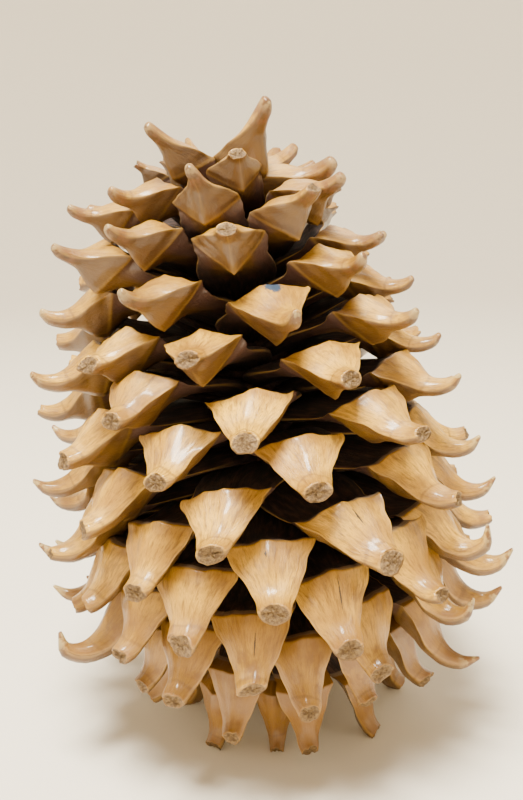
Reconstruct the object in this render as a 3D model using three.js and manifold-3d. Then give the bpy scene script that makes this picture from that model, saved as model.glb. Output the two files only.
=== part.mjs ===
// A large open pine cone with hooked woody scales, standing upright on its lowest scales.
//
// Units are millimetres and +Z is up. The origin is on the ground under the middle of the cone.
// The cone is one grown piece: a tapered axis and the scales that spring from it in a spiral.
// The spiral turns by nearly the golden angle from each scale to the next, lowest scale first.
// The cone leans a little to its left, towards -X, because it rests on bent-back scales.

import * as THREE from "three";
import { mergeVertices } from "three/addons/utils/BufferGeometryUtils.js";
import Module from "manifold-3d";

const wasm = await Module();
wasm.setup();

// Spiral
const SCALE_COUNT = 156;
const TURN_DEG = 137.58;
const FIRST_AZIMUTH_DEG = -4.7;
const UPPER_TWIST_DEG = 0.08;
const UPPER_TWIST_FROM = 93;
const FRONT_SPREAD_DEG = 3;
const AZIMUTH_WANDER_DEG = 2;
const HEIGHT_WANDER = 2.2;
const PITCH_WANDER_DEG = 5;
const SIZE_WANDER = 0.05;

// Lean and foot
const LEAN_HEIGHTS = [0, 80, 150, 210, 300];
const LEAN_SIDEWAYS = [0, -3.8, -10.6, -18, -30];
const LEAN_TILT = [0, 0.095, 0.1, 0.06, 0.05];
const AXIS_SHIFT = [7.2, -3.3];
const GROUND_BLOCK = 400;

// Axis of the cone: radius at each height, from the stalk scar up to the apex
const AXIS_SIDES = 7;
const AXIS_PROFILE = [[0, 31], [13, 31], [20, 48], [22, 90], [20, 160], [14, 210], [8, 240], [0, 249]];

// How a scale changes from the lowest one up. Every row has one value for each scale number in
// AT_SCALE. Crests are the highest points of the scales' backs. Scales at the two sides stand a
// little nearer the axis, lower and flatter, and those on the flat side are shorter.
const AT_SCALE = [0, 8, 18, 43, 68, 93, 118, 138, 155];
const CREST_RADIUS = [44, 57, 74, 87, 84, 77, 60, 43, 4];
const FLATTENED_SIDES = [0, 0, 0.04, 0.07, 0.07, 0.07, 0.04, 0, 0];
const CREST_HEIGHT = [30, 37, 66, 101, 136.5, 184, 226, 252, 255];
const SIDES_LOWER = [0, 0, 0, 5, 7, 8, 6, 2, 0];
const FLAT_SIDE_DEG = 100;
const FLAT_SIDE_SHARE = [0, 0, 0, 0, 0.04, 0.15, 0.25, 0.3, 0.3];
const SIDES_DROOP_DEG = [0, 0, 0, 4, 14, 14, 12, 10, 0];
const ROOT_REACH = [9, 9, 9, 9, 9, 9, 9, 6, 2.5];
const ROOT_HEIGHT = [41, 50, 62, 92, 122, 156, 190, 215, 236];
const PITCH_DEG = [-46, -38, -27, -13, 1, 18, 32, 48, 85];
const HALF_WIDTH = [9, 12, 14.5, 17.5, 18.5, 17.3, 14.8, 12.8, 7.5];
const CLAW_WIDTH = [1, 1, 1, 1, 1, 0.9, 0.78, 0.75, 0.75];
const CLAW_STOUT = [1, 1, 1, 1, 1.05, 1.1, 1.25, 1.35, 1.4];
const BELLY_DEPTH = [0.6, 0.7, 0.85, 0.95, 1, 1.15, 1.4, 1.4, 1.2];
const LENGTH_SHARE = [1, 1, 1.02, 1.06, 1, 0.88, 0.76, 0.66, 0.55];

// The form of one scale, from its neck to the tip of its claw. Each place along it holds four
// corners of the cross-section: the two keels at the sides, the back and the belly. They are
// given outward and upward from the middle of the crest, which is the back's highest point.
// The third number of the keel is its half width as a share of the crest's.
const SCALE_FORM = {
  neck: { keel: [-13, -7.2, 0.95], back: [-10, -4.6], belly: [-15, -15] },
  crest: { keel: [-4.5, -5, 1], back: [0, 0], belly: [-5.5, -20.5] },
  face: { keel: [4.5, -10.8, 0.72], back: [7.2, -7], belly: [3.5, -22] },
  clawRoot: { keel: [11.5, -17.2, 0.45], back: [13, -12.9], belly: [11, -23.4] },
  claw: { keel: [19.5, -19.6, 0.32], back: [19.6, -15.6], belly: [20, -23.6] },
  hook: { keel: [26, -18, 0.2], back: [25.2, -15.4], belly: [27, -20.6] },
  bluntTip: { keel: [28.2, -15.7, 0.14], back: [27.6, -14.2], belly: [29, -17.4] },
  tip: { keel: [31, -12.8, 0.05], back: [30.5, -12.3], belly: [31.5, -13.4] },
};
// Shares of the scale's pitch, of the belly's depth, of the claw's narrowing and of its
// thickening that count at a station. A station that isn't named takes the first number.
const CLAW_FOLLOWS = { others: 1, claw: 0.75, hook: 0.4, bluntTip: 0.3, tip: 0.2 };
const BELLY_TAKES = { others: 1, clawRoot: 0.35, claw: 0, hook: 0, bluntTip: 0, tip: 0 };
const CLAW_NARROWS = { others: 0, clawRoot: 0.6, claw: 1, hook: 1, bluntTip: 1, tip: 1 };
const CLAW_THICKENS = { others: 0, claw: 0.3, hook: 1, bluntTip: 1, tip: 1 };
const CLAW_TAKES = { others: 0, claw: 0.3, hook: 0.6, bluntTip: 0.8, tip: 1 };
const ROOT_HALF_WIDTH = 2;
const ROOT_HALF_THICKNESS = 1.8;
const BLADE_SCALES = [28, 100];
const BLADE_AT = 0.5;
const BLADE_HALF_WIDTH_SHARE = 0.6;
const BLADE_RISE = 2.5;
const BLADE_HALF_THICKNESS = 1.8;
const WHOLE_CLAW_SHARE = 0.8;
// From this scale on, whole claws have a blunt tip
const BLUNT_FROM = 112;

// How each claw ends: snapped short, snapped late or whole. The lists hold the scales seen from
// the front, and the rest are drawn by chance.
const SNAPPED = [
  26, 29, 34, 39, 42, 47, 52, 55, 60, 63, 68, 73, 76, 81, 86, 89, 94, 97, 102, 107, 123, 125,
  138, 143, 144, 146, 151,
];
const CHIPPED = [50, 65, 71, 84, 131];
const WHOLE = [
  24, 31, 37, 45, 57, 58, 78, 79, 92, 99, 105, 110, 112, 115, 118, 120, 128, 133, 136, 141, 149, 152,
];
const ALWAYS_SNAPPED_BELOW = 24;
const ALWAYS_SNAPPED_FROM = 153;
const SNAPPED_CHANCE = 0.35;
const CHIPPED_CHANCE = 0.5;

// Scales that stand a little off the spiral: degrees sideways, millimetres up, degrees of pitch
// and a share of extra length
const OFF_SPIRAL = {
  0: [0, -1, 0, 0],
  2: [0, -3.5, 0, 0],
  3: [0, -5.5, 0, 0],
  4: [0, -8.5, 0, 0],
  5: [0, -6.5, -6, 0],
  6: [0, -6.5, 0, 0],
  7: [0, -8, 0, 0],
  8: [-8, -3, -12, 0],
  13: [0, 0, 8, 0],
  16: [-8, -4, -20, 0],
  24: [0, -6, -2, 0],
  31: [0, 0, 8, 0.2],
  42: [-1, 4, 6, 0],
  55: [-4, 0, 0, 0],
  58: [0, -4, 0, 0],
  63: [-6, 0, 0, 0],
  68: [0, 3, 0, 0],
  76: [0, 5, 0, 0],
  79: [0, -5, 0, 0],
  81: [0, 2, 0, 0],
  102: [0, 0, 12, 0],
  107: [0, -9, 0, 0],
  110: [-3, 2, -10, 0],
  112: [0, 0, -12, 0],
  115: [-4, -2, 2, 0],
  120: [0, 2, 20, -0.05],
  123: [0, 3, 18, 0],
  125: [0, -3, 0, 0],
  126: [0, -5, -8, 0],
  128: [0, 1, -2, 0],
  129: [0, 0, 0, -0.25],
  131: [2, 2, 8, 0],
  133: [0, 2, -4, -0.1],
  134: [0, 0, 0, -0.25],
  136: [6, -2, 16, 0],
  138: [0, -7, 0, 0],
  139: [0, -4, -12, 0.1],
  141: [0, 0, -22, 0.1],
  143: [0, -12, 0, -0.25],
  144: [0, 3, 0, 0.05],
  146: [0, 3, 0, -0.35],
  147: [0, 1, -32, 0.65],
  149: [-12, 10, -8, 0.25],
  150: [0, 1, -26, 0.55],
  151: [0, -3, 0, -0.2],
  152: [-2, 8, 0, 0.62],
};
const ON_SPIRAL = [0, 0, 0, 0];

// Claws that point higher or lower than their neighbours, in degrees at the tip
const CLAW_TURN = { 24: -18, 31: 38, 37: 20, 45: 5, 58: 38 };
// Scales that are skewed sideways about their crest, in degrees
const SKEW = { 63: 20, 68: -6, 71: 6, 84: 10, 89: -10, 97: -4, 110: 10, 115: -8, 131: 12 };

// A fixed chance number from 0 to 1 for one scale and one use
function chance(scale, use) {
  const wave = Math.sin(scale * 12.9898 + use * 78.233) * 43758.5453;
  return wave - Math.floor(wave);
}

function wander(scale, use, size) {
  return (chance(scale, use) * 2 - 1) * size;
}

// Straight-line reading of a row of values at the scale's number
function along(row, scale) {
  let k = 1;
  while (k < AT_SCALE.length - 1 && scale > AT_SCALE[k]) k += 1;
  const share = (scale - AT_SCALE[k - 1]) / (AT_SCALE[k] - AT_SCALE[k - 1]);
  return row[k - 1] + share * (row[k] - row[k - 1]);
}

function clawEnd(scale) {
  if (scale < ALWAYS_SNAPPED_BELOW || scale >= ALWAYS_SNAPPED_FROM) return "snapped";
  if (SNAPPED.includes(scale)) return "snapped";
  if (CHIPPED.includes(scale)) return "chipped";
  if (WHOLE.includes(scale)) return "whole";
  const draw = chance(scale, 5);
  if (draw < SNAPPED_CHANCE) return "snapped";
  return draw < CHIPPED_CHANCE ? "chipped" : "whole";
}

// Bends a point of the straight, upright cone over to its lean
function lean(point) {
  let k = 1;
  while (k < LEAN_HEIGHTS.length - 1 && point.z > LEAN_HEIGHTS[k]) k += 1;
  const share = Math.max((point.z - LEAN_HEIGHTS[k - 1]) / (LEAN_HEIGHTS[k] - LEAN_HEIGHTS[k - 1]), 0);
  const sideways = THREE.MathUtils.lerp(LEAN_SIDEWAYS[k - 1], LEAN_SIDEWAYS[k], share);
  const tilt = THREE.MathUtils.lerp(LEAN_TILT[k - 1], LEAN_TILT[k], share);
  return new THREE.Vector3(
    point.x * Math.cos(tilt) + sideways + AXIS_SHIFT[0],
    point.y + AXIS_SHIFT[1],
    point.z + point.x * Math.sin(tilt),
  );
}

// Moves every vertex of a geometry and returns it as a solid that can be joined
function solidFrom(geometry, place) {
  const position = geometry.getAttribute("position");
  const point = new THREE.Vector3();
  for (let i = 0; i < position.count; i += 1) {
    point.fromBufferAttribute(position, i);
    const moved = lean(place(point));
    position.setXYZ(i, moved.x, moved.y, moved.z);
  }
  return manifoldOf(geometry);
}

function manifoldOf(geometry) {
  geometry.deleteAttribute("normal");
  geometry.deleteAttribute("uv");
  const merged = mergeVertices(geometry, 1e-4);
  return new wasm.Manifold(
    new wasm.Mesh({
      numProp: 3,
      vertProperties: new Float32Array(merged.getAttribute("position").array),
      triVerts: new Uint32Array(merged.index.array),
    }),
  );
}

// The direction in which a scale grows from the axis, seen from above
function azimuthOf(scale) {
  const turned = FIRST_AZIMUTH_DEG + TURN_DEG * scale;
  const twisted = turned + UPPER_TWIST_DEG * Math.max(scale - UPPER_TWIST_FROM, 0);
  const spread = FRONT_SPREAD_DEG * Math.sin(THREE.MathUtils.degToRad(2 * twisted));
  const swing = (OFF_SPIRAL[scale] ?? ON_SPIRAL)[0] + wander(scale, 1, AZIMUTH_WANDER_DEG);
  return THREE.MathUtils.degToRad(twisted + spread + swing);
}

function turn([outward, upward], angle, length) {
  return [
    length * (outward * Math.cos(angle) - upward * Math.sin(angle)),
    length * (outward * Math.sin(angle) + upward * Math.cos(angle)),
  ];
}

// A point of the form that hangs on a point already placed
function hung(anchor, point, from, angle, length) {
  const step = turn([point[0] - from[0], point[1] - from[1]], angle, length);
  return [anchor[0] + step[0], anchor[1] + step[1]];
}

function share(shares, name) {
  return shares[name] ?? shares.others;
}

// 1 where a share is 0, and the row's value for the scale where it is 1
function partly(row, scale, shares, name) {
  return 1 + (along(row, scale) - 1) * share(shares, name);
}

function hasBlade(scale) {
  return scale >= BLADE_SCALES[0] && scale < BLADE_SCALES[1];
}

// The stations of one scale. Only scales with a blade have a neck.
function stationNames(scale, end) {
  const names = ["crest", "face", "clawRoot", "claw"];
  if (hasBlade(scale)) names.unshift("neck");
  if (end !== "snapped") names.push("hook");
  if (end === "whole") names.push(scale < BLUNT_FROM ? "tip" : "bluntTip");
  return names;
}

// The places along one scale, as corners in its own upright plane: distance from the cone's
// axis, height, and for the keel the half width. The claw turns less than the rest of the
// scale, so that claws hook outward at every height.
function stationsOf(scale, azimuth) {
  const end = clawEnd(scale);
  const [, lift, tilt, stretch] = OFF_SPIRAL[scale] ?? ON_SPIRAL;
  const size = 1 + wander(scale, 4, SIZE_WANDER);
  const toFlatSide = Math.max(Math.cos(azimuth - THREE.MathUtils.degToRad(FLAT_SIDE_DEG)), 0) ** 4;
  const shorter = 1 - along(FLAT_SIDE_SHARE, scale) * toFlatSide;
  const length = along(LENGTH_SHARE, scale) * size * (1 + stretch) * shorter;
  const halfWidth = along(HALF_WIDTH, scale) * size * (1 + stretch);
  const toSide = Math.sin(azimuth) ** 2;
  const droop = along(SIDES_DROOP_DEG, scale) * toSide;
  const pitch = along(PITCH_DEG, scale) + tilt - droop + wander(scale, 3, PITCH_WANDER_DEG);
  const oval = (1 - along(FLATTENED_SIDES, scale) * toSide) * shorter;
  const raise = lift - along(SIDES_LOWER, scale) * toSide + wander(scale, 2, HEIGHT_WANDER);
  const crest = [along(CREST_RADIUS, scale) * oval, along(CREST_HEIGHT, scale) + raise];
  const root = [along(ROOT_REACH, scale), along(ROOT_HEIGHT, scale)];
  const skew = Math.tan(THREE.MathUtils.degToRad(SKEW[scale] ?? 0));
  const formed = [];
  let anchor = crest;
  let from = [0, 0];
  let crestReach = 0;
  stationNames(scale, end).forEach((name) => {
    const form = SCALE_FORM[name];
    const turnDeg = pitch * share(CLAW_FOLLOWS, name) + (CLAW_TURN[scale] ?? 0) * share(CLAW_TAKES, name);
    const angle = THREE.MathUtils.degToRad(turnDeg);
    const stout = partly(CLAW_STOUT, scale, CLAW_THICKENS, name);
    const deeper = partly(BELLY_DEPTH, scale, BELLY_TAKES, name);
    const narrow = partly(CLAW_WIDTH, scale, CLAW_NARROWS, name);
    const slim = end === "whole" && (name === "claw" || name === "hook") ? WHOLE_CLAW_SHARE : 1;
    const keel = hung(anchor, form.keel, from, angle, length);
    if (name === "crest") crestReach = keel[0];
    formed.push({
      keel,
      back: hung(keel, form.back, form.keel, angle, length * stout),
      belly: hung(keel, form.belly, form.keel, angle, length * stout * deeper),
      halfWidth: halfWidth * form.keel[2] * slim * narrow * stout,
      shift: name === "neck" ? 0 : skew * Math.max(keel[0] - crestReach, 0),
    });
    if (name !== "neck" && name !== "crest" && name !== "face") {
      anchor = keel;
      from = form.keel;
    }
  });
  const stations = [flatStation(root, ROOT_HALF_WIDTH, ROOT_HALF_THICKNESS)];
  if (hasBlade(scale)) stations.push(bladeStation(root, formed[0], halfWidth));
  return [...stations, ...formed];
}

// A flat cross-section, as the thin part of a scale has
function flatStation(at, halfWidth, halfThickness) {
  const back = [at[0], at[1] + halfThickness];
  const belly = [at[0], at[1] - halfThickness];
  return { keel: at, back, belly, halfWidth, shift: 0 };
}

function bladeStation(root, neck, halfWidth) {
  const at = [0, 1].map((axis) => root[axis] + BLADE_AT * (neck.keel[axis] - root[axis]));
  at[1] += BLADE_RISE;
  return flatStation(at, halfWidth * BLADE_HALF_WIDTH_SHARE, BLADE_HALF_THICKNESS);
}

// One scale. A four-sided cylinder is laid out along it: its rows are the places along the
// scale, and its four edges are the back, the belly and the two keels.
function scaleSolid(scale) {
  const azimuth = azimuthOf(scale);
  const stations = stationsOf(scale, azimuth);
  const rows = stations.length - 1;
  const outward = new THREE.Vector3(Math.sin(azimuth), -Math.cos(azimuth), 0);
  const sideways = new THREE.Vector3(Math.cos(azimuth), Math.sin(azimuth), 0);
  const geometry = new THREE.CylinderGeometry(1, 1, rows, 4, rows);
  return solidFrom(geometry, (point) => {
    const station = stations[Math.round(rows / 2 - point.y)];
    const corner = Math.abs(point.z) < 0.5 ? station.keel : point.z > 0 ? station.back : station.belly;
    const wide = Math.abs(point.x) < 0.5 ? 0 : Math.sign(point.x) * station.halfWidth;
    return new THREE.Vector3()
      .addScaledVector(outward, corner[0])
      .addScaledVector(sideways, wide + station.shift)
      .add(new THREE.Vector3(0, 0, corner[1]));
  });
}

function axisSolid() {
  const profile = AXIS_PROFILE.map(([radius, height]) => new THREE.Vector2(radius, height));
  const geometry = new THREE.LatheGeometry(profile, AXIS_SIDES);
  geometry.rotateX(Math.PI / 2);
  return solidFrom(geometry, (point) => point.clone());
}

// A block under the ground, which trims the feet flat
function groundSolid() {
  const geometry = new THREE.BoxGeometry(GROUND_BLOCK, GROUND_BLOCK, GROUND_BLOCK);
  geometry.translate(0, 0, -GROUND_BLOCK / 2);
  return manifoldOf(geometry);
}

// Joins the cone into one body and leaves out anything loose
function coneGeometry() {
  const pieces = [axisSolid()];
  for (let scale = 0; scale < SCALE_COUNT; scale += 1) pieces.push(scaleSolid(scale));
  const joined = wasm.Manifold.union(pieces).subtract(groundSolid());
  const bodies = joined.decompose().sort((a, b) => b.volume() - a.volume());
  const mesh = bodies[0].getMesh();
  const geometry = new THREE.BufferGeometry();
  geometry.setAttribute("position", new THREE.BufferAttribute(new Float32Array(mesh.vertProperties), 3));
  geometry.setIndex(new THREE.BufferAttribute(new Uint32Array(mesh.triVerts), 1));
  geometry.computeVertexNormals();
  return geometry;
}

const wood = new THREE.MeshStandardMaterial({ color: 0xc48b52, roughness: 0.55, metalness: 0 });

const cone = new THREE.Mesh(coneGeometry(), wood);
cone.name = "pine_cone";

const group = new THREE.Group();
group.add(cone);

export default group;
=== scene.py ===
"""A large open pine cone with hooked woody scales, standing upright on its lowest scales.

The cone is one grown body: an axis and the scales that spring from it in a spiral. Lengths in the
tables are in millimetres, and meshes are in metres with +Z up. A scale is a closed surface on a
grid. One way the grid runs along the scale, from its root in the axis to the end of its claw. The
other way it runs round the scale's cross-section.
"""

import math
from types import SimpleNamespace

import bpy
import numpy as np
from mathutils import Matrix, Vector


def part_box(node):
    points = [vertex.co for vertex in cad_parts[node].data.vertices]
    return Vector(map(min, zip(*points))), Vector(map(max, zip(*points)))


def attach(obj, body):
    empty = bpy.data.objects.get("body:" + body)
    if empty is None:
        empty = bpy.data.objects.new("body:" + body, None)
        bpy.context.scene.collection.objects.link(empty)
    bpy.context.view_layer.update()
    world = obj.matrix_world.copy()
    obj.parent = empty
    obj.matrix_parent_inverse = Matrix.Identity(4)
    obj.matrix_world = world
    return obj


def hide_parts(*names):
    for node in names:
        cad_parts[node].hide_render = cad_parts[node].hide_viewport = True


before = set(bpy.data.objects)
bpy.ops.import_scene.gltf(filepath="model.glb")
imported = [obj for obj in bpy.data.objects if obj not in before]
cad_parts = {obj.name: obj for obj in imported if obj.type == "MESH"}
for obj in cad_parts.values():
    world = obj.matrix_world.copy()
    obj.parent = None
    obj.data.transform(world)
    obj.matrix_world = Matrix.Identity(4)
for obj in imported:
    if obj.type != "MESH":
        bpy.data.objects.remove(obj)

bl_info = {
    "name": "Open pine cone",
    "version": (1, 0, 0),
    "blender": (4, 5, 0),
    "location": "View3D > Sidebar > Pine cone",
    "description": "Builds a large open pine cone with hooked scales, some of their claws snapped off",
    "category": "Add Mesh",
}

MM = 0.001
CONE = "pine_cone"
BODY = "root"
CONE_LOW, CONE_HIGH = (np.array(corner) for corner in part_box(CONE))
# Every shown piece stays this far inside the box, in metres
EDGE_MARGIN = 0.0001

# Spiral
SCALE_COUNT = 156
TURN_DEG = 137.58
FIRST_AZIMUTH_DEG = -4.7
UPPER_TWIST_DEG = 0.08
UPPER_TWIST_FROM = 93
FRONT_SPREAD_DEG = 3
AZIMUTH_WANDER_DEG = 2
HEIGHT_WANDER = 2.2
PITCH_WANDER_DEG = 5
SIZE_WANDER = 0.05
# The fast sine wave that chance numbers are read from
SCALE_STRIDE, USE_STRIDE, CHANCE_SPREAD = 12.9898, 78.233, 43758.5453
# A number for each use of chance. The last three are each the first of several.
AZIMUTH, HEIGHT, PITCH, SIZE, END, STOP, WINGS = range(1, 8)
WAVES = range(8, 11)
ROLL, SWING, SLANT, STEEPNESS, TINT = range(11, 16)
SPLINTERS, DENTS, EDGES = 20, 31, 40

# Lean
LEAN_HEIGHTS = [0, 80, 150, 210, 300]
LEAN_SIDEWAYS = [0, -3.8, -10.6, -18, -30]
LEAN_TILT = [0, 0.095, 0.1, 0.06, 0.05]
AXIS_SHIFT = [7.2, -3.3]

# Axis of the cone: radius at each height, from the stalk scar up to the apex
AXIS_PROFILE = [
    [0, 31], [9, 30], [15, 32], [20, 48], [23, 90], [21, 160], [15, 210], [8, 240], [0, 249],
]
AXIS_RINGS = 90
AXIS_SIDES = 96
# Lumps on the axis: their share of the radius, and for each of two waves how many there are round
# the axis and how fast they turn with height
LUMP_SHARE = 0.06
LUMP_WAVES = ((8, 0.35), (5, -0.28))

# How a scale changes from the lowest one up. Every row has one value for each scale number in
# AT_SCALE.
AT_SCALE = [0, 8, 18, 43, 68, 93, 118, 138, 155]
# Its crest: distance from the axis and height, and what changes on the cone's left and right
CREST_RADIUS = [44, 57, 74, 87, 84, 77, 60, 43, 4]
FLATTENED_SIDES = [0, 0, 0.04, 0.07, 0.07, 0.07, 0.04, 0, 0]
CREST_HEIGHT = [30, 37, 66, 101, 136.5, 184, 226, 252, 255]
SIDES_LOWER = [0, 0, 0, 5, 7, 8, 6, 2, 0]
FLAT_SIDE_DEG = 100
FLAT_SIDE_SHARPNESS = 4
FLAT_SIDE_SHARE = [0, 0, 0, 0, 0.04, 0.15, 0.25, 0.3, 0.3]
SIDES_DROOP_DEG = [0, 0, 0, 4, 14, 14, 12, 10, 0]
# Its root, pitch and size
ROOT_REACH = [9, 9, 9, 9, 9, 9, 9, 6, 2.5]
ROOT_HEIGHT = [41, 50, 62, 92, 122, 156, 190, 215, 236]
PITCH_DEG = [-46, -38, -27, -13, 1, 18, 32, 48, 85]
HALF_WIDTH = [10.5, 13, 14.8, 17.5, 18.5, 17.3, 14.8, 12.8, 7.5]
LENGTH_SHARE = [1, 1, 1.02, 1.06, 1, 0.88, 0.76, 0.66, 0.55]
BELLY_DEPTH = [0.6, 0.7, 0.85, 0.95, 1, 1.15, 1.4, 1.4, 1.2]
ROLL_DEG = [0, 0, 0, 1, 3, 4, 4, 3, 0]
# Its claw: share of width, share of width and thickness, and how far short of the tip a whole
# one stops
CLAW_WIDTH = [1, 1, 1, 1, 1, 0.9, 0.78, 0.75, 0.75]
CLAW_STOUT = [1, 1, 1, 1, 1.05, 1.1, 1.25, 1.35, 1.4]
CLAW_BLUNTED = [0, 0, 0, 0, 0.5, 2.5, 4.5, 5.5, 5.5]

# The form of one scale at its stations, from the blade to the tip of the claw, given outward and
# upward from the middle of the crest. The keels are its two side edges, the back its highest line
# and the belly its lowest. "far" is how far along the scale the station lies.
STATIONS = [
    # name, far, keel out, keel up, half width, back out, back up, belly out, belly up
    ("neck", 50, -13, -7.2, 0.95, -10, -4.6, -15, -15),
    ("inner_crest", 60, -6.2, -5.1, 0.985, -1.9, -0.7, -7, -21.2),
    ("crest", 62, -4.5, -5, 1, 0, 0, -5, -22.4),
    ("outer_crest", 63.6, -3.1, -5.9, 0.975, 1.2, -1.0, -3, -22.6),
    ("face", 72, 4.5, -10.8, 0.72, 7.2, -7, 4, -22.8),
    ("claw_root", 81, 11.5, -17.2, 0.45, 13, -12.9, 11, -23.4),
    ("claw", 89.5, 19.5, -19.6, 0.32, 19.6, -15.6, 20, -23.6),
    ("hook", 96, 26, -18, 0.2, 25.2, -15.4, 27, -20.6),
    ("tip", 103, 31, -12.8, 0.05, 30.5, -12.3, 31.5, -13.4),
]
ROOT_FAR, BLADE_FAR = 0, 25
FAR_OF = {name: far for name, far, *_ in STATIONS}
FAR = np.array([ROOT_FAR, BLADE_FAR, *FAR_OF.values()], float)
NECK_FAR, CREST_FAR, CLAW_ROOT_FAR, CLAW_FAR, HOOK_FAR, TIP_FAR = (
    FAR_OF[name] for name in ("neck", "crest", "claw_root", "claw", "hook", "tip")
)
# How fully a station takes on its scale's pitch, belly depth, claw width and claw stoutness. The
# pitch and the belly count in full at all others, and the width and stoutness not at all.
CLAW_FOLLOWS = {"claw": 0.75, "hook": 0.4, "tip": 0.2}
BELLY_TAKES = {"claw_root": 0.35, "claw": 0, "hook": 0, "tip": 0}
CLAW_NARROWS = {"claw_root": 0.6, "claw": 1, "hook": 1, "tip": 1}
CLAW_THICKENS = {"claw": 0.3, "hook": 1, "tip": 1}
# The next station hangs on the keel of each of these
CLAW_HINGES = ("claw_root", "claw", "hook")
# The blade: its middle station, and its widths and thickness against the rest of the scale
ROOT_HALF_WIDTH = 10
ROOT_THICKER = 1.3
BLADE_AT = 0.5
BLADE_HALF_WIDTH_SHARE = 1.12
BLADE_RISE = 2
WHOLE_CLAW_SHARE = 0.8

# Shape of the cross-section along the scale. The height over the keels is
# (1 - |across| ** fullness) ** roundness, with one pair for the back and one for the belly.
SHAPE_FAR = [0, 25, 50, 60, 62, 64, 72, 81, 89.5, 103]
BACK_FULLNESS = [4, 4, 2.2, 1.25, 1.15, 1.2, 1.6, 2, 2, 2]
BACK_ROUNDNESS = [0.5, 0.5, 0.9, 1.1, 1.15, 1.15, 1.1, 0.75, 0.5, 0.5]
BELLY_FULLNESS = [4, 3, 1.4, 1.15, 1.1, 1.1, 1.15, 1.6, 2, 2]
BELLY_ROUNDNESS = [0.5, 0.6, 0.95, 1, 1, 1, 1, 0.8, 0.5, 0.5]
WING_LIFT = [0, 0, 0.4, 1.2, 1.5, 1.4, 0.5, 0, 0, 0]
WING_SHARPNESS = 6
WING_WANDER = 0.5
WAVE_SHARE = [0, 0.3, 0.8, 1, 1, 1, 0.9, 0.5, 0.25, 0]
WAVE_FADE = 4
# Slow waves in the faces: half turns from the middle to a keel, strength and how fast they shift
# along the scale
FACE_WAVES = ((2.1, 1, 0.09), (4.3, 0.6, -0.18), (1.1, 0.8, 0.27))
# Slow waves along each edge of a scale: strength and how fast they run
EDGE_WAVES = ((1, 0.31), (0.5, 0.74))
# A claw swings sideways by its full swing over this length
CLAW_SWING_OVER = 20

# The grid of one scale
ROUND = 40
BODY_ROWS = [
    0, 8, 16, 25, 33, 41, 46, 50, 53, 56, 58.5, 60, 61, 61.6, 62, 62.5, 63, 63.6,
    64.6, 66, 67.5, 69, 71, 73, 75, 77, 79, 81,
]
CLAW_ROWS = 9

# The end of a claw. Rings of these shares of the last section close it. On a broken claw the rows
# before the break follow its slope and splinters by a share, the one three rows back least.
BREAK_RINGS = [0.86, 0.6, 0.32]
BREAK_FOLLOWS = ((3, 0.15), (2, 0.45), (1, 1))
SPLINTER_WAVES = (2, 3, 5, 7, 11)
# Dents inside a break: their height against the splinters, and the strength and speed of the
# second of their two sines. The middle lies lower by BREAK_HOLLOW.
DENT_SHARE = 0.8
SECOND_DENT = (0.5, 2.3)
BREAK_HOLLOW = 0.5
# Height of a whole claw's rounded end against its half width
DOME_SHARE = 0.8
# How torn the last ring of the claw and the first ring of the break are
RIM_TORN = (0.4, 0.8)
POINT_STARTS_BEFORE_HOOK = 3

# How each claw ends. The lists hold the scales seen from the front, and the rest are drawn by
# chance.
SNAPPED = [
    26, 29, 34, 39, 42, 47, 52, 55, 60, 63, 68, 73, 76, 81, 86, 89, 94, 97, 102, 107, 123, 125,
    138, 143, 144, 146, 151,
]
CHIPPED = [50, 65, 71, 84, 131]
WHOLE = [
    24, 31, 37, 45, 57, 58, 78, 79, 92, 99, 105, 110, 112, 115, 118, 120, 128, 133, 136, 141, 149,
    152,
]
ALWAYS_SNAPPED_BELOW = 24
ALWAYS_SNAPPED_FROM = 153
SNAPPED_CHANCE = 0.35
CHIPPED_CHANCE = 0.5

# Scales that stand a little off the spiral: degrees sideways, millimetres up, degrees of pitch
# and a share of extra length
OFF_SPIRAL = {
    0: (0, -1, 0, 0), 2: (0, -3.5, 0, 0), 3: (0, -5.5, 0, 0), 4: (0, -8.5, 0, 0),
    5: (0, -6.5, -6, 0), 6: (0, -6.5, 0, 0), 7: (0, -8, 0, 0), 8: (-8, -3, -12, 0),
    13: (0, 0, 8, 0), 16: (-8, -4, -20, 0), 24: (0, -6, -2, 0), 31: (0, 0, 8, 0.2),
    42: (-1, 4, 6, 0), 55: (-4, 0, 0, 0), 58: (0, -4, 0, 0), 63: (-6, 0, 0, 0),
    68: (0, 3, 0, 0), 76: (0, 5, 0, 0), 79: (0, -5, 0, 0), 81: (0, 2, 0, 0),
    102: (0, 0, 12, 0), 107: (0, -9, 0, 0), 110: (-3, 2, -10, 0), 112: (0, 0, -12, 0),
    115: (-4, -2, 2, 0), 120: (0, 2, 20, -0.05), 123: (0, 3, 18, 0), 125: (0, -3, 0, 0),
    126: (0, -5, -8, 0), 128: (0, 1, -2, 0), 129: (0, 0, 0, -0.25), 131: (2, 2, 8, 0),
    133: (0, 2, -4, -0.1), 134: (0, 0, 0, -0.25), 136: (6, -2, 16, 0), 138: (0, -7, 0, 0),
    139: (0, -4, -12, 0.1), 141: (0, 0, -22, 0.1), 143: (0, -12, 0, -0.25),
    144: (0, 3, 0, 0.05), 146: (0, 3, 0, -0.35), 147: (0, 1, -32, 0.65),
    149: (-12, 10, -8, 0.25), 150: (0, 1, -26, 0.55), 151: (0, -3, 0, -0.2),
    152: (-2, 8, 0, 0.62),
}

# Claws that point higher or lower than their neighbours, in degrees at the tip
CLAW_TURN = {58: 38, 31: 38, 45: 5, 24: -18, 37: 20}
CLAW_TAKES = {"claw": 0.3, "hook": 0.6, "tip": 1}
# Scales that are skewed sideways about their crest, in degrees
SKEW = {63: 20, 110: 10, 131: 12, 84: 10, 115: -8, 68: -6, 89: -10, 71: 6, 97: -4}
# Claws that end at a place of their own along the scale
OWN_END = {144: 85, 152: 98.6}

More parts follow.
